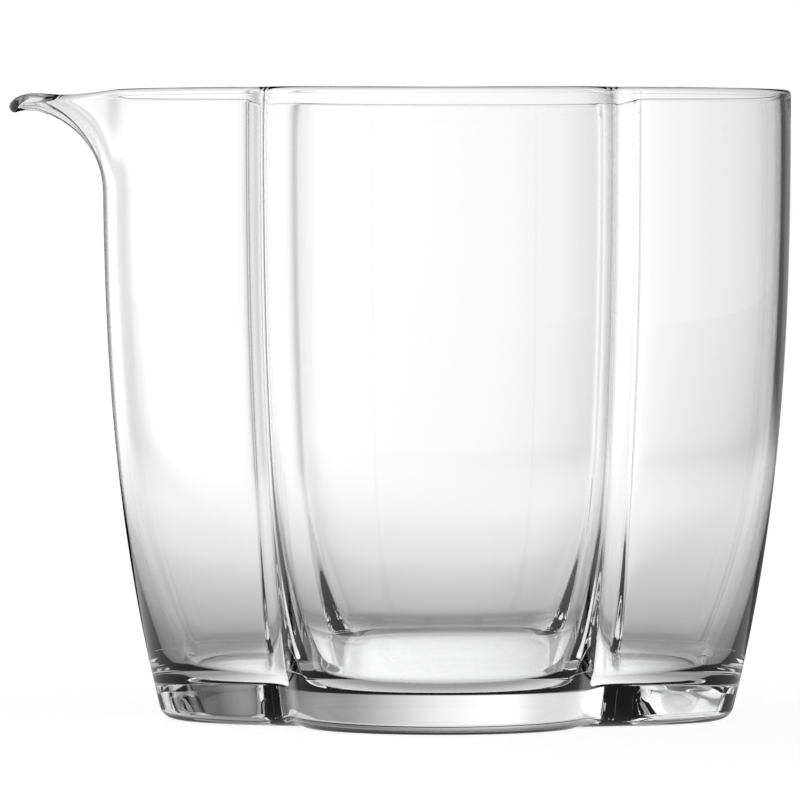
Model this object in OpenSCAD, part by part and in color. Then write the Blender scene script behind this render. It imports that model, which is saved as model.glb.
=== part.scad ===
/* [Body] */
// Width across two opposite lobes, at the rim
body_w = 86; // [76:0.5:96]
// Height from the table to the rim
body_h = 78.7; // [60:0.1:100]
// Radius of each of the four lobes in plan, at the rim
lobe_r = 21.9; // [20:0.1:25]
// How far each side draws in from the rim to the foot
taper = 7.5; // [3:0.25:11]
// How long the sides stay upright before they draw in
taper_power = 2.7; // [1.5:0.1:4]
// Softness of the four outside creases
crease_soft = 1.8; // [0.5:0.1:4]
// Rounding of the outer bottom edge
foot_r = 2; // [1:0.1:4]

/* [Glass] */
// Wall at the middle of a lobe, from the rim down to where it begins to thicken
wall_t = 1.1; // [0.9:0.1:2]
// Wall at the middle of a lobe, if its thickening is carried down to the table
wall_foot_t = 4.6; // [2:0.1:6]
// Height below which the wall thickens
thick_h = 28; // [15:1:40]
// Softness of the four ridges inside, behind the creases
ridge_soft = 2.6; // [0.5:0.1:5]
// How much farther out the inner lobes are centred, which thickens the glass at the creases
inner_shift = 0.4; // [0:0.05:1.5]
// Thickness of the floor
floor_t = 5.2; // [3:0.1:9]
// Rounding inside, between the wall and the floor
floor_r = 2.5; // [1:0.1:5]

/* [Rim] */
// Extra wall at the fire-polished rim
rim_t = 0.15; // [0:0.05:0.6]
// Height over which the rim thickens
rim_fade_h = 2; // [1:0.1:5]
// How far the rim sinks at the middle of each lobe
rim_wave = 0.15; // [0:0.05:1]

/* [Spout] */
// How far the lip is pulled out beyond the lobe
spout_l = 10.9; // [6:0.1:14]
// Height of the wall that the pull draws out
spout_h = 13; // [8:0.5:20]
// Half the width of the spout, near the middle of its length
spout_half_w = 6; // [3.5:0.1:7]
// How blunt the lip is in plan: 2 is pointed and 4 is square
spout_blunt = 2.6; // [2:0.1:4]
// How far the edges of the spout sink below the rim
spout_dip = 0.9; // [0:0.05:2.5]
// Half the width of rim that sinks for the spout
dip_half_w = 8; // [6:0.1:12]
// How much lower the lip's nose is than the spout's edges
nose_dip = 0.75; // [0.25:0.05:3]
// Half the width of the lowered nose
nose_half_w = 1.8; // [1:0.1:3]
// Extra thickness of the bead at the nose
nose_t = 0.15; // [0:0.05:0.8]
// How far the bead hangs below the lip, like a drop
drop = 0.5; // [0:0.05:1]

/* [Hidden] */

// Steps from the crest of a plain lobe to the crease, and the same for the spout's lobe
lobe_steps = 11;
spout_lobe_steps = 17;
// How closely the steps of the spout's lobe crowd to its middle
spout_crowd = 1.5;
// The lobe that carries the spout, counted round from the one on +X
spout_lobe = 2;

// Rings along each stretch of the section
foot_steps = 4;
wall_steps = 9;
pull_steps = 12;
rim_steps = 8;
inner_steps = 8;
floor_steps = 4;

// Small steps used to read the direction of the surface, in mm and in degrees
probe = 0.02;
probe_turn = 0.1;
// Share of the pull below which a point keeps the plain wall's direction
pull_min = 0.0005;
// How suddenly the rim sinks beside the spout
dip_power = 5;
// How suddenly the wall begins to thicken
wall_power = 1.5;
// How closely the bead keeps to the nose, and how soon it fades back along the lip
nose_power = 8;
drop_fade = 1;

rim_half_t = (wall_t + rim_t) / 2;
wall_top = body_h - rim_half_t;
spout_foot = body_h - spout_h;
inner_foot = floor_t + floor_r;

// Lean of the wall where it meets the rounded bottom edge, and the height of that place
foot_lean = atan(taper * taper_power / body_h);
foot_top = foot_r * (1 - sin(foot_lean));

function mix(a, b, t) = a + (b - a) * t;
function unit(v) = v / norm(v);

// Directions round a ring, from a lobe's crest to the crease on each side of it
function shares(steps, crowd) = [for (k = [1 : steps]) pow(k / steps, crowd)];
function lobe_turns(lobe) =
    let (s = lobe == spout_lobe ? shares(spout_lobe_steps, spout_crowd) : shares(lobe_steps, 1),
         last = len(s) - 1)
    concat([for (k = [1 : last]) 90 * lobe - 45 * s[last - k]], [90 * lobe],
           [for (share = s) 90 * lobe + 45 * share]);
turns = [for (lobe = [0 : 3]) each lobe_turns(lobe)];

// Half the width across the lobes at a height, and a lobe's radius and centre there
function half_w(z) = body_w / 2 - taper * pow(1 - z / body_h, taper_power);
function lobe_at(z) = lobe_r * half_w(z) / (body_w / 2);
function centre_at(z) = half_w(z) - lobe_at(z);

// Reach from the axis to the edge of a circle of radius a about [c, 0], in a direction
function reach_one(c, a, turn) = c * cos(turn) + sqrt(max(0, a * a - pow(c * sin(turn), 2)));

// The same for four such circles, run together softly where two of them meet
function reach(c, a, soft, turn) =
    let (r = [for (k = [0 : 3]) reach_one(c, a, turn - 90 * k)], top = max(r))
    top + soft * ln(exp((r[0] - top) / soft) + exp((r[1] - top) / soft)
                    + exp((r[2] - top) / soft) + exp((r[3] - top) / soft));

// Point and outward direction on the outline of four lobes, moved in by an inset
function four_lobes(c, a, soft, turn, inset) =
    let (r = reach(c, a, soft, turn),
         climb = (reach(c, a, soft, turn + probe_turn) - reach(c, a, soft, turn - probe_turn))
             / (2 * probe_turn) * 180 / PI,
         out = unit([climb * sin(turn) + r * cos(turn), r * sin(turn) - climb * cos(turn)]))
    [r * [cos(turn), sin(turn)] - inset * out, out];

// Wall at the middle of a lobe
function wall_at(z) = mix(wall_t, wall_foot_t, pow(max(0, 1 - z / thick_h), wall_power));

// The outer and the inner outline at a height, both drawn in by an inset
function outline(z, turn, inset = 0) =
    four_lobes(centre_at(z), lobe_at(z), crease_soft, turn, inset);
function inner_outline(z, turn, inset = 0) =
    four_lobes(centre_at(z) + inner_shift, lobe_at(z) - inner_shift - wall_at(z), ridge_soft,
               turn, inset);

// How near a direction is to a lobe's crest: 1 at the crest, 0 at the crease
function crest_share(turn) = (1 + cos(4 * turn)) / 2;

// Share of the full pull at a point of the plain wall, and how far the rim sinks there
function pull(p) = p.x < 0 ? exp(-pow(abs(p.y) / spout_half_w, spout_blunt)) : 0;
function rim_dip(p) = p.x < 0
    ? spout_dip * exp(-pow(abs(p.y) / dip_half_w, dip_power))
        + nose_dip * exp(-pow(p.y / nose_half_w, 2))
    : 0;

// Outer surface of the wall. Its top stretch follows a quarter ellipse outwards in the
// middle of the spout, and sinks at the rim by the dip and the wave.
function skin(z, turn) =
    let (p = outline(z, turn)[0],
         up = max(0, (z - spout_foot) / (wall_top - spout_foot)),
         g = pull(p),
         sunk = rim_dip(p) + rim_wave * crest_share(turn),
         rise = mix(up, sin(90 * up), g),
         hang = drop * pow(g, nose_power) * exp((z - wall_top) / drop_fade))
    up == 0
    ? [p.x, p.y, z]
    : [p.x - spout_l * g * (1 - cos(90 * up)), p.y,
       spout_foot + (wall_top - spout_foot - sunk) * rise - hang];

// Direction up the wall, and the direction square to it
function up_wall(z, turn) = unit(skin(z, turn) - skin(z - probe, turn));
function out_wall(z, turn) =
    let (o = outline(z, turn))
    pull(o[0]) < pull_min || z <= spout_foot
    ? [o[1].x, o[1].y, 0]
    : unit(cross(skin(z, turn + probe_turn) - skin(z, turn - probe_turn), up_wall(z, turn)));

// Inner surface of the wall. It keeps the plain wall's thickness where the spout turns the
// wall over, and moves in by the extra glass of the rim and the nose.
function lining(z, turn) =
    let (o = outline(z, turn), through = o[0] - inner_outline(z, turn)[0],
         out = out_wall(z, turn),
         bead = (rim_t + nose_t * pow(pull(o[0]), nose_power)) * exp((z - wall_top) / rim_fade_h))
    skin(z, turn) - [through.x, through.y, 0]
        - norm(through) * (out - [o[1].x, o[1].y, 0]) - bead * out;

// The rings of the section, in order from the foot: up the outside, over the rim, down
// the inside and in across the rounded corner of the floor
foot_rings = [for (k = [0 : foot_steps])
    let (t = mix(-90, -foot_lean, k / foot_steps), inset = foot_r * (cos(foot_lean) - cos(t)))
    [for (turn = turns)
        let (p = outline(foot_top, turn, inset)[0]) [p.x, p.y, foot_r * (1 + sin(t))]]];

outer_heights = concat(
    [for (k = [1 : wall_steps]) mix(foot_top, spout_foot, k / wall_steps)],
    [for (k = [1 : pull_steps]) mix(spout_foot, wall_top, k / pull_steps)]);
outer_rings = [for (z = outer_heights) [for (turn = turns) skin(z, turn)]];

rim_rings = [for (k = [1 : rim_steps - 1])
    let (t = 180 * k / rim_steps)
    [for (turn = turns)
        mix(skin(wall_top, turn), lining(wall_top, turn), (1 - cos(t)) / 2)
            + rim_half_t * sin(t) * up_wall(wall_top, turn)]];

inner_heights = concat(
    [for (k = [0 : pull_steps]) mix(wall_top, spout_foot, k / pull_steps)],
    [for (k = [1 : inner_steps]) mix(spout_foot, inner_foot, k / inner_steps)]);
inner_rings = [for (z = inner_heights) [for (turn = turns) lining(z, turn)]];

floor_rings = [for (k = [1 : floor_steps])
    let (t = 90 * k / floor_steps, z = floor_t + floor_r * (1 - sin(t)))
    [for (turn = turns)
        let (p = inner_outline(z, turn, floor_r * (1 - cos(t)))[0]) [p.x, p.y, z]]];

// Skin over a stack of closed rings, with a fan of faces at each end
module loft(rings) {
    n = len(rings[0]);
    last = len(rings) - 1;
    hub = n * len(rings);
    points = concat([for (ring = rings) each ring],
        [[0, 0, rings[0][0].z], [0, 0, rings[last][0].z]]);
    sides = [for (j = [0 : last - 1], i = [0 : n - 1])
        let (a = j * n, b = a + n, next = (i + 1) % n)
        each [[a + i, b + i, b + next], [a + i, b + next, a + next]]];
    ends = [for (i = [0 : n - 1])
        let (next = (i + 1) % n)
        each [[hub, i, next], [hub + 1, last * n + next, last * n + i]]];
    polyhedron(points = points, faces = concat(sides, ends), convexity = 6);
}

module pitcher() {
    color([0.9, 0.95, 0.95, 0.45])
        loft(concat(foot_rings, outer_rings, rim_rings, inner_rings, floor_rings));
}

pitcher();
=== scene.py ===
# %% [markdown]
# # A glass pitcher with four lobes
#
# The object is a fairness pitcher for tea: one piece of clear glass, open at the top, with
# four lobes in plan, a thick floor and a small lip drawn out of one lobe. Tea is poured into
# it from the pot, so that every cup gets the same strength.
#
# Clear glass has no colour of its own to copy. What the eye sees is the room behind it, bent
# by two surfaces and split by their reflections. So this lesson spends its effort on three
# things: the thickness of the glass from place to place, a surface that is smooth but not
# perfect, and a room whose light and dark sides give the glass something to bend.

# %% Load the solid model
import math

import bpy
import numpy as np
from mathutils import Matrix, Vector


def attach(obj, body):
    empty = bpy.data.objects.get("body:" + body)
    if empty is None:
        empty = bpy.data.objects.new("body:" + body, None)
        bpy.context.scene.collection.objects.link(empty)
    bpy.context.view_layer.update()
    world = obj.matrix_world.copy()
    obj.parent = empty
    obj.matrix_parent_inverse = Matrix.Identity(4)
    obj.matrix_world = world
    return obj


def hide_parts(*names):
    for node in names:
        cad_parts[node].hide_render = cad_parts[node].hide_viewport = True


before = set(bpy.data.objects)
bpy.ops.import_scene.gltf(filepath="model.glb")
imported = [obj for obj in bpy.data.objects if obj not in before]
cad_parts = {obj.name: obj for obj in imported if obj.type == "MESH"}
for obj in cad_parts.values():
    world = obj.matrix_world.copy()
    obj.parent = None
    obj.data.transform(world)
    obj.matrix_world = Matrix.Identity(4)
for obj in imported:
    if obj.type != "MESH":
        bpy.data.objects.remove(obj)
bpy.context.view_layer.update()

# %% [markdown]
# ## The measures of the pitcher
#
# The solid model is a loft through rings of points, with flat facets between them. Facets
# that are too small to see on an opaque pot show at once in glass, because each one bends
# the background its own way. So the pitcher is drawn again here, with about four times as many
# points each way, and it stands in for the solid.
#
# Its outside, rim, lip and floor have the solid's own measures. Only the inner surface is a
# little different, by up to 0.6 mm: lower down the wall begins to thicken sooner and more
# gently, and the ridges behind the creases are slimmer, which keeps the lines there fine.
#
# All measures are in millimetres, from the axis of the four lobes and the table. The points
# are turned into metres when the mesh is made.

# %% Measures of the body
MM = 0.001
BODY_WIDE = 86.0                               # across two lobes, at the rim
BODY_HIGH = 78.7                               # from the table to the rim
LOBE_R = 21.9                                  # radius of a lobe in plan, at the rim
TAPER = 7.5                                    # how far each side draws in towards the foot
TAPER_POWER = 2.7                              # how late it does so
CREASE_SOFT = 1.8                              # softness of the four outside creases
FOOT_R = 2.0                                   # rounding of the outer bottom edge

LEAN = math.atan(TAPER * TAPER_POWER / BODY_HIGH)  # of the sides, low down
FOOT_TOP = FOOT_R * (1 - math.sin(LEAN))       # height where the rounded edge meets them
print("body", BODY_WIDE, "mm across and", BODY_HIGH, "mm high; its sides lean by",
      round(math.degrees(LEAN), 1), "degrees at the foot")

# %% [markdown]
# ## Four lobes in plan
#
# The mould of the real pitcher is like four round bores that overlap, with the edges between
# them polished away until each lobe runs softly into the next. Four arcs joined by fillets
# would give such an outline, but each joint is a jump in the curve that shows as a line in
# the glass.
#
# So the outline is found another way. Four circles are measured from the axis in every
# direction, and the four distances are run together by a soft maximum: it follows the
# longest of them, and is rounded only where two are nearly equal. No arc has to meet
# another, so there is no seam.

# %% Draw one ring of the outside
TURN_STEP = 1e-4                               # small turn that gives the outline's direction
TINY = 1e-12                                   # keeps a vector without length from dividing by 0


def half_width(z):
    return BODY_WIDE / 2 - TAPER * max(0.0, 1 - z / BODY_HIGH) ** TAPER_POWER


def unit(vectors):
    return vectors / np.maximum(np.linalg.norm(vectors, axis=-1, keepdims=True), TINY)


def reach(centre, lobe_r, soft, turns):
    """How far the outline is from the axis in each direction."""
    away = turns - np.arange(4)[:, None] * math.pi / 2
    half_chord = np.sqrt(np.maximum(0.0, lobe_r ** 2 - (centre * np.sin(away)) ** 2))
    return soft * np.log(np.exp((centre * np.cos(away) + half_chord) / soft).sum(axis=0))


def four_lobes(centre, lobe_r, soft, turns, inset):
    """Points of the outline of four lobes, and the direction out of it at each."""
    far = reach(centre, lobe_r, soft, turns)
    climb = (reach(centre, lobe_r, soft, turns + TURN_STEP)
             - reach(centre, lobe_r, soft, turns - TURN_STEP)) / (2 * TURN_STEP)
    c, s, level = np.cos(turns), np.sin(turns), np.zeros_like(turns)
    out = unit(np.stack([climb * s + far * c, far * s - climb * c, level], -1))
    return np.stack([far * c, far * s, level], -1) - inset * out, out


def outer_outline(z, turns, inset=0.0):
    lobe_r = LOBE_R * half_width(z) / (BODY_WIDE / 2)
    return four_lobes(half_width(z) - lobe_r, lobe_r, CREASE_SOFT, turns, inset)


CREST_AND_CREASE = np.radians([0.0, 45.0])     # directions of a lobe's middle and of its edge
rim_reach = np.linalg.norm(outer_outline(BODY_HIGH, CREST_AND_CREASE)[0], axis=1)
print("the rim is", rim_reach.round(2), "mm from the axis at a crest and at a crease")

# %% [markdown]
# ## The thickness of the glass
#
# Glass that is blown into a mould chills where it touches, and the hot glass behind goes on
# moving. So the wall ends up thin high up, and thicker low down and behind the creases.
#
# One thickness, laid off from the outside all over, would miss that. So the inside has four
# circles of its own. They are smaller by the wall, so they meet nearer to the axis, and the
# glass is thickest at the creases. They run together a little more softly, which rounds the
# ridges there. Below a height the wall thickens by a power of the depth, which starts without
# a kink. A kink would show as a level line right round.

# %% Draw one ring of the inside
WALL = 1.1                                     # wall at the middle of a lobe, high up
WALL_AT_FOOT = 5.2                             # the same wall, if carried down to the table
THICKENS_BELOW = 36.0                          # height below which it thickens
THICKENS_POWER = 2.5                           # how gently it begins to
RIDGE_SOFT = 2.0                               # softness of the ridges behind the creases
INNER_SHIFT = -0.1                             # how much farther out the inner circles are centred
FLOOR = 5.2                                    # thickness of the floor
FLOOR_R = 2.5                                  # rounding between the wall and the floor


def wall(z):
    return WALL + (WALL_AT_FOOT - WALL) * max(0.0, 1 - z / THICKENS_BELOW) ** THICKENS_POWER


def inner_outline(z, turns, inset=0.0):
    lobe_r = LOBE_R * half_width(z) / (BODY_WIDE / 2)
    return four_lobes(half_width(z) - lobe_r + INNER_SHIFT, lobe_r - INNER_SHIFT - wall(z),
                      RIDGE_SOFT, turns, inset)


for z in (60, 20, 10):
    through = outer_outline(z, CREST_AND_CREASE)[0] - inner_outline(z, CREST_AND_CREASE)[0]
    print("at a height of", z, "mm the wall is", np.linalg.norm(through, axis=1).round(2),
          "mm at a crest and at a crease")

# %% [markdown]
# ## The directions round a ring
#
# Every ring has its points in the same directions, so that the faces between two rings line
# up. Even steps would do for the plain lobes. The lip is much narrower than a lobe, and its
# nose is the tightest curve of the whole rim, so the steps of its lobe crowd to the middle.

# %% Choose the directions
LOBE_STEPS = 46                                # from a crest to a crease
SPOUT_STEPS, SPOUT_CROWD = 64, 1.5             # the same in the lobe of the lip
SPOUT_LOBE = 2                                 # counted round from the lobe on +X


def ring_turns():
    degrees = []
    for lobe in range(4):
        steps, crowd = (SPOUT_STEPS, SPOUT_CROWD) if lobe == SPOUT_LOBE else (LOBE_STEPS, 1.0)
        half = [45 * (k / steps) ** crowd for k in range(1, steps + 1)]
        degrees += [90 * lobe + turn for turn in [-h for h in half[-2::-1]] + [0.0] + half]
    return np.radians(degrees)


TURNS = ring_turns()
print(len(TURNS), "points round a ring, the closest",
      round(float(np.degrees(np.diff(TURNS).min())), 3), "degrees apart")

# %% [markdown]
# ## The drawn-out lip
#
# On the real pitcher the lip is pulled while the rim is soft. A tool presses the middle of one
# lobe outwards, and the glass on both sides of it sinks and thins a little. A separate spout
# that is joined on would show a seam in glass, so the lip is part of the wall here too: each
# point of the wall's top stretch moves outwards along a quarter of an ellipse, by a share that
# is 1 in the middle of the lip and fades to 0 at its sides.
#
# The last touch of the flame leaves a small bead that hangs from the nose of the lip. It
# cuts the stream off, so that the last drop of tea falls instead of running down the outside.

# %% Move the outer surface for the lip
SPOUT_LONG, SPOUT_HIGH = 10.9, 13.0            # how far the lip is drawn out, and from how low
SPOUT_HALF, SPOUT_BLUNT = 6.0, 2.6             # half its width, and how square it is in plan
SPOUT_DIP, DIP_HALF, DIP_POWER = 0.9, 8.0, 5.0  # how far and how widely its edges sink
NOSE_DIP, NOSE_HALF, NOSE_POWER = 0.75, 1.8, 8.0  # the same for its nose alone
DROP, DROP_FADE = 0.5, 1.0                     # how far the bead hangs, and how high it starts
RIM_EXTRA, RIM_FADE = 0.15, 2.0                # extra glass at the rim, and how low it starts
RIM_WAVE = 0.15                                # how far the rim sinks at each crest

RIM_HALF = (WALL + RIM_EXTRA) / 2
WALL_TOP = BODY_HIGH - RIM_HALF
SPOUT_FOOT = BODY_HIGH - SPOUT_HIGH


def pull(point):
    share = np.exp(-(np.abs(point[:, 1]) / SPOUT_HALF) ** SPOUT_BLUNT)
    return np.where(point[:, 0] < 0, share, 0.0)


def sink(point):
    sides = SPOUT_DIP * np.exp(-(np.abs(point[:, 1]) / DIP_HALF) ** DIP_POWER)
    nose = NOSE_DIP * np.exp(-(point[:, 1] / NOSE_HALF) ** 2)
    return np.where(point[:, 0] < 0, sides + nose, 0.0)


def skin(z, turns):
    """Outer surface of the wall at a height."""
    point = outer_outline(z, turns)[0]
    up = (z - SPOUT_FOOT) / (WALL_TOP - SPOUT_FOOT)
    if up <= 0:
        point[:, 2] = z
        return point
    drawn = pull(point)
    high = WALL_TOP - SPOUT_FOOT - sink(point) - RIM_WAVE * (1 + np.cos(4 * turns)) / 2
    rise = up + (math.sin(math.pi / 2 * up) - up) * drawn
    hang = DROP * drawn ** NOSE_POWER * math.exp((z - WALL_TOP) / DROP_FADE)
    point[:, 0] -= SPOUT_LONG * drawn * (1 - math.cos(math.pi / 2 * up))
    point[:, 2] = SPOUT_FOOT + high * rise - hang
    return point


print("tip of the lip at x =", round(float(skin(WALL_TOP, TURNS)[:, 0].min()), 2), "mm")

# %% [markdown]
# ## The inside of the lip
#
# The pull turns the wall over without making it thicker or thinner by much, so its inside
# can't be moved by the same distances: the lip would get thin where it lies flat. Instead the
# thickness is measured square to the outside, whichever way that faces. The direction comes
# from two small steps on the outer surface, one up the wall and one along the ring. At the
# rim, and most of all at the nose, the flame has gathered a little more glass.

# %% Find the inner surface
UP_STEP, ALONG_STEP = 0.02, 0.002              # the two small steps, in mm and in radians
LEAST_PULL = 0.0005                            # below this share the wall is taken as plain
NOSE_EXTRA = 0.15                              # extra glass of the bead


def up_the_wall(z):
    return unit(skin(z, TURNS) - skin(z - UP_STEP, TURNS))


def out_of_the_wall(z):
    point, plain = outer_outline(z, TURNS)
    if z <= SPOUT_FOOT:
        return plain
    along = skin(z, TURNS + ALONG_STEP) - skin(z, TURNS - ALONG_STEP)
    bent = unit(np.cross(along, up_the_wall(z)))
    return np.where(pull(point)[:, None] >= LEAST_PULL, bent, plain)


def lining(z):
    """Inner surface of the wall at a height."""
    point, plain = outer_outline(z, TURNS)
    through = point - inner_outline(z, TURNS)[0]
    thick = np.linalg.norm(through, axis=1, keepdims=True)
    out = out_of_the_wall(z)
    bead = RIM_EXTRA + NOSE_EXTRA * pull(point) ** NOSE_POWER
    bead = (bead * math.exp((z - WALL_TOP) / RIM_FADE))[:, None]
    return skin(z, TURNS) - through - thick * (out - plain) - bead * out


rim_wall = np.linalg.norm(skin(WALL_TOP, TURNS) - lining(WALL_TOP), axis=1)
print("just under the rim the wall is", rim_wall.min().round(2), "to", rim_wall.max().round(2),
      "mm")

# %% [markdown]
# ## From the foot to the middle of the floor
#
# Glass must be closed, with both surfaces, or light would enter it and never leave. So the
# section is followed once: in from the middle of the underside, round the bottom edge, up the
# outside, over the rim in a half circle, down the inside and in across the floor.
#
# Flat discs close the two ends. Smooth shading would blend their flat faces with the rounded
# corner next to them and bend the whole floor like a lens, so each disc starts with one narrow
# ring that keeps the blend at the corner.

# %% Stack the rings
FOOT_STEPS, WALL_STEPS, LIP_STEPS, RIM_STEPS = 10, 44, 36, 16
INNER_STEPS, THICK_STEPS, CORNER_STEPS = 20, 24, 12
DISC_SHARES = (0.15, 0.5, 0.8, 0.985)          # sizes of a disc's rings; the last is the narrow one


def up_to(start, end, steps):
    return [start + (end - start) * k / steps for k in range(1, steps + 1)]


def at_height(point, z):
    point[:, 2] = z
    return point


def disc(ring, shares):
    return [ring * np.array([share, share, 1.0]) for share in shares]


foot = []
for k in range(FOOT_STEPS + 1):
    turn = -math.pi / 2 + (math.pi / 2 - LEAN) * k / FOOT_STEPS
    inset = FOOT_R * (math.cos(LEAN) - math.cos(turn))
    foot.append(at_height(outer_outline(FOOT_TOP, TURNS, inset)[0],
                          FOOT_R * (1 + math.sin(turn))))

heights = up_to(FOOT_TOP, SPOUT_FOOT, WALL_STEPS) + up_to(SPOUT_FOOT, WALL_TOP, LIP_STEPS)
outside = [skin(z, TURNS) for z in heights]

start, end, up = skin(WALL_TOP, TURNS), lining(WALL_TOP), up_the_wall(WALL_TOP)
rim = [start + (end - start) * (1 - math.cos(t)) / 2 + RIM_HALF * math.sin(t) * up
       for t in (math.pi * k / RIM_STEPS for k in range(1, RIM_STEPS))]

corner_top = FLOOR + FLOOR_R
heights = [WALL_TOP] + up_to(WALL_TOP, SPOUT_FOOT, LIP_STEPS)
heights += up_to(SPOUT_FOOT, THICKENS_BELOW, INNER_STEPS)
heights += up_to(THICKENS_BELOW, corner_top, THICK_STEPS)
inside = [lining(z) for z in heights]

corner = []
for k in range(1, CORNER_STEPS + 1):
    turn = math.pi / 2 * k / CORNER_STEPS
    z = FLOOR + FLOOR_R * (1 - math.sin(turn))
    inset = FLOOR_R * (1 - math.cos(turn))
    corner.append(at_height(inner_outline(z, TURNS, inset)[0], z))

rings = (disc(foot[0], DISC_SHARES) + foot + outside + rim + inside + corner
         + disc(corner[-1], DISC_SHARES[::-1]))
print(len(rings), "rings of", len(TURNS), "points")

# %% [markdown]
# ## One closed mesh
#
# The real pitcher is one piece of glass with nothing joined on, so all rings go into one
# mesh. A skin made by a modifier, such as Solidify, would give both surfaces too, but not two
# outlines that differ. Here each ring is simply joined to the next by a belt of four-sided
# faces, and a fan of triangles fills the last small hole at each end.
#
# The faces are shaded smooth, so that the glass bends light like a curve. The new piece moves
# with the solid's one body, stands in for the solid and has its glass.

# %% Join the rings and put the piece in the solid's place
def closed_loft(name, rings):
    points = np.vstack(rings) * MM
    round_it, rows = len(rings[0]), len(rings)
    here = np.arange(round_it)
    after = (here + 1) % round_it
    faces = []
    for row in range(rows - 1):
        low, high = row * round_it, (row + 1) * round_it
        faces += np.stack([low + here, low + after, high + after, high + here], 1).tolist()
    last = (rows - 1) * round_it
    middle = len(points)
    points = np.vstack([points, [[0, 0, points[0, 2]], [0, 0, points[last, 2]]]])
    faces += [[middle, int(b), int(a)] for a, b in zip(here, after)]
    faces += [[middle + 1, int(last + a), int(last + b)] for a, b in zip(here, after)]
    mesh = bpy.data.meshes.new(name)
    mesh.from_pydata(points.tolist(), [], faces)
    mesh.validate()
    mesh.polygons.foreach_set("use_smooth", [True] * len(mesh.polygons))
    mesh.update()
    piece = bpy.data.objects.new(name, mesh)
    bpy.context.scene.collection.objects.link(piece)
    return piece


pitcher = closed_loft("glass_pitcher", rings)
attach(pitcher, "root")
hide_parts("pitcher")
print(sum(len(face.vertices) - 2 for face in pitcher.data.polygons), "triangles in the pitcher")

# %% [markdown]
# ## A small language for materials
#
# A material is a board of nodes with wires between them. Written out node by node, a sum such
# as 1 - mask * 0.5 takes six lines and can't be read. So one small class wraps a socket and
# gives it the signs of arithmetic, also when a plain number stands on the left.

# %% Wrap sockets so that sums can be written as sums
class Wire:
    """A number that flows through a board of nodes."""

    def __init__(self, board, socket):
        self.board, self.socket = board, socket

    def sum(self, operation, *values):
        return self.board.add("ShaderNodeMath", {"operation": operation}, dict(enumerate(values)))

    def __add__(self, other):
        return self.sum("ADD", self, other)

    def __sub__(self, other):
        return self.sum("SUBTRACT", self, other)

    def __rsub__(self, other):
        return self.sum("SUBTRACT", other, self)

    def __mul__(self, other):
        return self.sum("MULTIPLY", self, other)

    def __truediv__(self, other):
        return self.sum("DIVIDE", self, other)

    def __rtruediv__(self, other):
        return self.sum("DIVIDE", other, self)

    __radd__, __rmul__ = __add__, __mul__

    def larger(self, other):
        return self.sum("MAXIMUM", self, other)

    def between(self, low, high, start=0.0, end=1.0):
        """Goes smoothly from start to end as the number goes from low to high."""
        values = {"Value": self, "From Min": low, "From Max": high, "To Min": start, "To Max": end}
        return self.board.add("ShaderNodeMapRange", {"interpolation_type": "SMOOTHSTEP"}, values)


print("a wire understands", [name for name, made in vars(Wire).items() if callable(made)][1:])

# %% [markdown]
# ## The board that holds the nodes
#
# Every kind of node could have a helper of its own, but all of them are made in the same way:
# a type, then its settings, then a value or a wire for each socket. So one method makes them
# all. Only a ramp needs more, because its stops are objects of their own.

# %% Make the board
class Board:
    """The nodes of one material or of the world."""

    def __init__(self, owner):
        owner.use_nodes = True
        self.tree = owner.node_tree
        self.tree.nodes.clear()

    def add(self, kind, settings=None, values=None, out=0):
        """Adds a node and gives back the wire that comes out of it."""
        node = self.tree.nodes.new(kind)
        for name, setting in (settings or {}).items():
            if name == "stops":
                self.set_stops(node.color_ramp, setting)
            else:
                setattr(node, name, setting)
        for name, value in (values or {}).items():
            if isinstance(value, Wire):
                self.tree.links.new(value.socket, node.inputs[name])
            else:
                node.inputs[name].default_value = value
        return Wire(self, node.outputs[out]) if node.outputs else None

    def set_stops(self, ramp, stops):
        """Stops are pairs of a place from 0 to 1 and a grey; between them it runs straight."""
        ramp.interpolation = "LINEAR"
        while len(ramp.elements) > 1:
            ramp.elements.remove(ramp.elements[-1])
        for number, (place, shade) in enumerate(stops):
            stop = ramp.elements[0] if number == 0 else ramp.elements.new(place)
            stop.position = place
            stop.color = (shade, shade, shade, 1)


print("materials can now be written as sums")

# %% [markdown]
# ## Clear glass, fire-polished
#
# Glass from a mould is never quite even. The mould leaves long, soft waves that run up the
# wall, and the polishing flame leaves it shiny. Under the foot, where the pitcher slides over
# trays, fine scuffs dull the shine. Thick glass has a trace of grey-green, which shows only in
# the slab of the floor.
#
# The shape already holds the thick and thin places, so the material adds only what the shape
# can't: soft waves as a bump of a few thousandths of a millimetre, scuffs as roughness at the
# bottom edge, and a trace of colour low down. Stronger waves would make the fine lines at the
# creases tremble, and the glass would look like plastic.

# %% Make the glass
WAVES, DIMPLES, GRIT = 95.0, 210.0, 1400.0     # fineness of the three noises
STRETCHED = (1.0, 1.0, 0.22)                   # the waves are longest up the wall
DIMPLE_SHARE = 0.3                             # how strong the dimples are beside the waves
DIMPLES_FADE, DIMPLES_LEFT = (0.0, 0.03), 0.25  # heights over which they fade, and to what share
WAVE_DEPTH, WAVE_STRENGTH = 0.00002, 0.35      # the depth is in metres
POLISHED, SCUFFED = 0.004, 0.22                # roughness of the wall, and what scuffs add
SCUFFS_END = (0.0001, 0.0009)                  # heights over which the scuffs end, in metres
GRIT_SHOWN = (0.45, 0.75)                      # values of the grit noise that show as scuffs
CLEAR, GREY_GREEN = (0.998, 0.998, 0.998, 1), (0.982, 0.986, 0.985, 1)
TINT_ENDS = (0.003, 0.022)                     # heights over which the grey-green fades
GLASS_IOR = 1.5                                # how strongly the glass bends light


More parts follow.
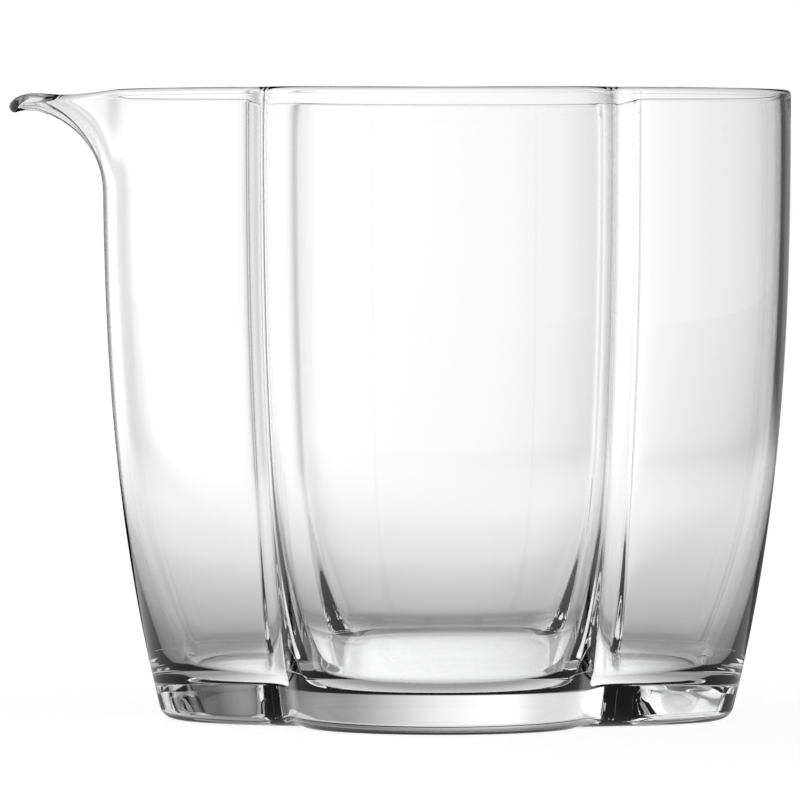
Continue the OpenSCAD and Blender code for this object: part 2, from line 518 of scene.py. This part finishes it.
def clear_glass():
    glass = bpy.data.materials.new("clear_pressed_glass")
    board = Board(glass)
    place = board.add("ShaderNodeTexCoord", out="Object")
    high = board.add("ShaderNodeSeparateXYZ", values={0: place}, out="Z")

    long_waves = board.add("ShaderNodeVectorMath", {"operation": "MULTIPLY"},
                           {0: place, 1: STRETCHED})
    waves = board.add("ShaderNodeTexNoise", values={"Vector": long_waves, "Scale": WAVES,
                                                    "Detail": 1.0, "Roughness": 0.35})
    dimples = board.add("ShaderNodeTexNoise", values={"Vector": place, "Scale": DIMPLES,
                                                      "Detail": 0.5, "Roughness": 0.3})
    surface = waves + DIMPLE_SHARE * dimples * high.between(*DIMPLES_FADE, 1.0, DIMPLES_LEFT)

    grit = board.add("ShaderNodeTexNoise", values={"Vector": place, "Scale": GRIT,
                                                   "Detail": 3.0, "Roughness": 0.7})
    rubbed = high.between(*SCUFFS_END, 1.0, 0.0) * grit.between(*GRIT_SHOWN)
    shine = POLISHED + SCUFFED * rubbed

    low_down = high.between(*TINT_ENDS, 1.0, 0.0)
    tint = board.add("ShaderNodeMix", {"data_type": "RGBA"},
                     {"Factor": low_down, 6: CLEAR, 7: GREY_GREEN}, out=2)
    bump = board.add("ShaderNodeBump", values={"Height": surface, "Strength": WAVE_STRENGTH,
                                               "Distance": WAVE_DEPTH})
    shader = board.add("ShaderNodeBsdfPrincipled",
                       values={"Base Color": tint, "Roughness": shine, "IOR": GLASS_IOR,
                               "Transmission Weight": 1.0, "Normal": bump})
    board.add("ShaderNodeOutputMaterial", values={"Surface": shader})
    return glass


pitcher.data.materials.append(clear_glass())
print("glass:", [node.bl_label for node in pitcher.data.materials[0].node_tree.nodes])

# %% [markdown]
# ## Light by compass direction
#
# In a studio, clear glass stands in front of a bright screen, with black cards out of view.
# The screen fills the walls with white, and the cards draw the outline as dark lines. A lamp
# would add a hot spot. So there are no lamps here: screen and cards are one list of
# brightness by direction, where 0 is behind the pitcher and 90 is to its right.
#
# The left is bright and the right falls off to dark, so that each lobe turns grey towards its
# right edge, as a row of columns does beside one big window. The directions that count most
# are those close behind the pitcher, which its walls bend into view. There the light falls off
# from the middle to the right, and a weak card stands on the left, from -17.5 to -13 degrees.
#
# Two more cards stand behind the pitcher, a black one on the left and a dark grey one on the
# right. Only mirror reflections see them, from rays that are both glossy and reflected. They
# dull the shine near the edges, and the walls stay clear, because light that passes through
# the glass doesn't meet them.

# %% Lay the screen and the cards round the compass
BRIGHT = 1.2                                   # the screen, where 1 is white

# Pairs of a direction in degrees and the share of the screen's light that comes from there.
AROUND = [(-180, 0.92), (-150, 0.95), (-120, 0.75), (-90, 0.85), (-60, 0.9), (-40, 1.1),
          (-22, 1.1), (-17.5, 0.65), (-13, 0.65), (-9.5, 0.95), (-5, 0.88), (0, 0.76), (4, 0.6),
          (8, 0.42), (12, 0.26), (16, 0.28), (20, 0.2), (25, 0.08), (38, 0.1), (50, 0.4),
          (70, 0.65), (90, 0.7), (120, 0.75), (179, 0.92)]
# The same for the two cards: the share of that light which mirror reflections keep.
CARDS = [(-180, 1.0), (-36, 1.0), (-29, 0.0), (-7, 0.0), (-2, 1.0), (7, 1.0), (13, 0.2),
         (38, 0.2), (46, 1.0), (179, 1.0)]


def compass_ramp(board, place, stops):
    """Share of light for the direction of a place, seen from the axis."""
    x = board.add("ShaderNodeSeparateXYZ", values={0: place}, out="X")
    y = board.add("ShaderNodeSeparateXYZ", values={0: place}, out="Y")
    share = x.sum("ARCTAN2", x, y) / (2 * math.pi) + 0.5
    stops = [((degrees + 180) / 360, shade) for degrees, shade in stops]
    return board.add("ShaderNodeValToRGB", {"stops": stops}, {"Fac": share})


def mirrored_cards(board, place):
    """1, but less where a mirror reflection looks at one of the two cards."""
    mirror = (board.add("ShaderNodeLightPath", out="Is Glossy Ray")
              * board.add("ShaderNodeLightPath", out="Is Reflection Ray"))
    return 1 - mirror * (1 - compass_ramp(board, place, CARDS))


print("darkest direction:", min(AROUND, key=lambda stop: stop[1])[0], "degrees")

# %% [markdown]
# ## The table
#
# The pitcher stands on a pale table that runs on into a white background. The eye sees the
# table as white, with the soft shadow of the foot. A plain white table would also fill the
# glass with white low down, where the real one is grey. So the glass and its reflections see
# the same table with painted light and shade: a painted pool of light right under the floor, a
# painted shadow in a ring close round the foot, and from there brighter with the distance.
# That turns the lower part of the pitcher grey and gives the slab of the floor its dark ends.
#
# Direction counts as well. Close by, the painted shade has a falloff of its own, darker on the
# right, and farther away it runs into the room's light, so that no level line shows where the
# table ends.

# %% Lay the table
TABLE_HALF = 3.0                               # half its width, in metres
TABLE_SINK = 0.00005                           # how far it lies below the foot, so they don't touch
TABLE_PALE, TABLE_LIFT = (0.8, 0.8, 0.8, 1), 0.75  # its colour, and what it shines by itself
SIDES_COUNT = (0.05, 0.16)                     # distances over which direction begins to count
SIDES_LIKE_ROOM = (0.15, 0.85)                 # distances over which it turns into the room's

# Pairs of a distance from the axis in metres and a share of the screen's light: painted light
# under the floor and a painted shadow ring round the foot.
BY_DISTANCE = [(0.0, 0.96), (0.022, 0.9), (0.032, 0.25), (0.045, 0.22), (0.06, 0.38),
               (0.08, 0.46), (0.15, 0.68), (0.3, 0.82), (0.6, 0.93), (1.0, 1.0)]
# Pairs of a direction and a share, for the table close to the pitcher: painted shade that
# falls off towards the right, as the room's light does.
CLOSE_BY = [(-180, 0.95), (-90, 1.0), (3, 0.96), (11, 0.8), (22, 0.8), (35, 0.7), (55, 0.65),
            (90, 0.75), (135, 0.85), (179, 0.95)]


def painted_table_shading(board):
    """Painted light and shade on the table for the glass, by distance from the axis and direction.
    """
    place = board.add("ShaderNodeNewGeometry", out="Position")
    away = board.add("ShaderNodeVectorMath", {"operation": "LENGTH"}, {0: place}, out="Value")
    # painted light under the floor, and a painted shadow in a ring round the foot
    near = board.add("ShaderNodeValToRGB", {"stops": BY_DISTANCE}, {"Fac": away})
    # painted shade by direction, darker on the right
    close = compass_ramp(board, place, CLOSE_BY)
    far = compass_ramp(board, place, AROUND)
    sides = close + away.between(*SIDES_LIKE_ROOM) * (far - close)
    shade = near * (1 - away.between(*SIDES_COUNT) * (1 - sides)) * BRIGHT
    return shade * mirrored_cards(board, place)


def pale_table():
    table = bpy.data.materials.new("pale_table")
    board = Board(table)
    path = "ShaderNodeLightPath"
    through_glass = board.add(path, out="Is Glossy Ray").larger(
        board.add(path, out="Is Transmission Ray"))
    matt = board.add("ShaderNodeBsdfDiffuse", values={"Color": TABLE_PALE})
    lift = board.add("ShaderNodeEmission", values={"Strength": TABLE_LIFT})
    seen = board.add("ShaderNodeAddShader", values={0: matt, 1: lift})
    # the glass and its reflections see this painted light and shade on the table
    mirrored = board.add("ShaderNodeEmission", values={"Color": painted_table_shading(board)})
    both = board.add("ShaderNodeMixShader", values={0: through_glass, 1: seen, 2: mirrored})
    board.add("ShaderNodeOutputMaterial", values={"Surface": both})
    return table


mesh = bpy.data.meshes.new("table")
mesh.from_pydata([(x * TABLE_HALF, y * TABLE_HALF, -TABLE_SINK)
                  for x, y in ((-1, -1), (1, -1), (1, 1), (-1, 1))], [], [(0, 1, 2, 3)])
table = bpy.data.objects.new("table", mesh)
bpy.context.scene.collection.objects.link(table)
mesh.materials.append(pale_table())
print("table", 2 * TABLE_HALF, "m wide")

# %% [markdown]
# ## The room
#
# Above the table the same screen and cards go on, up to the height of a big window, and over
# them the room is dim, as it is above the lamps of a studio. A bright ceiling would fill the
# rim and the floor of the pitcher with white and flatten them.
#
# The room could be built of walls that shine. The world does the same with less: its
# brightness depends only on the direction, so it stays the same wherever the camera stands.
# The eye itself sees plain white.

# %% Make the room
CEILING_FROM, CEILING_TO, CEILING = 0.15, 0.6, 0.3  # where it dims, as sines, and to what


def studio(scene):
    world = bpy.data.worlds.new("studio")
    scene.world = world
    board = Board(world)
    way = board.add("ShaderNodeTexCoord", out="Generated")
    high = board.add("ShaderNodeSeparateXYZ", values={0: way}, out="Z")
    shade = (compass_ramp(board, way, AROUND) * mirrored_cards(board, way)
             * high.between(CEILING_FROM, CEILING_TO, BRIGHT, CEILING))
    seen = board.add("ShaderNodeLightPath", out="Is Camera Ray")
    light = board.add("ShaderNodeBackground", values={"Color": (1, 1, 1, 1),
                                                      "Strength": shade.larger(seen)})
    board.add("ShaderNodeOutputWorld", values={"Surface": light})


scene = bpy.context.scene
studio(scene)
scene.view_settings.view_transform = "Standard"
print("world:", scene.world.name)

# %% [markdown]
# ## The camera
#
# The photograph was taken from far away, just below the rim: the far side of the rim shows as
# a thin line under the near side, and the underside is a shallow curve. The camera stands 1.1 m
# off, 67 mm above the table, turned a few degrees to the left of square, so that the crease on
# the right shows more of its depth than the one on the left.

# %% Set up the camera
AWAY, EYE = 1.1, 0.067                         # its distance and its height, in metres
TURN = math.radians(-2.6)                      # to the left of square
PHOTO_WIDE = 800                               # pixels of the photograph, each way
PIXEL = 0.125 * MM                             # size of one of them, at the axis
AXIS_AT = 446.5                                # column of the axis
AIM_HIGH = 0.0398                              # height at the middle row, in metres
SENSOR = 36.0                                  # width of the sensor, in mm
NEAREST, FARTHEST = 0.01, 50                   # what the camera sees, in metres

ahead = np.array([math.sin(TURN), math.cos(TURN), 0.0])
right = np.array([math.cos(TURN), -math.sin(TURN), 0.0])
aim = right * (PHOTO_WIDE / 2 - AXIS_AT) * PIXEL + np.array([0, 0, AIM_HIGH])
eye = aim - ahead * AWAY
eye[2] = EYE
look = Vector(aim) - Vector(eye)

lens = bpy.data.cameras.new("studio_camera")
camera = bpy.data.objects.new("studio_camera", lens)
scene.collection.objects.link(camera)
scene.camera = camera
camera.location = eye
camera.rotation_euler = look.to_track_quat("-Z", "Y").to_euler()
lens.sensor_width = SENSOR
lens.lens = SENSOR * look.length / (PHOTO_WIDE * PIXEL)
lens.clip_start, lens.clip_end = NEAREST, FARTHEST
print("camera", round(look.length, 3), "m away with a", round(lens.lens), "mm lens")

# %% [markdown]
# ## The size
#
# The dressed pitcher must fill the same box as the solid that it stands for.
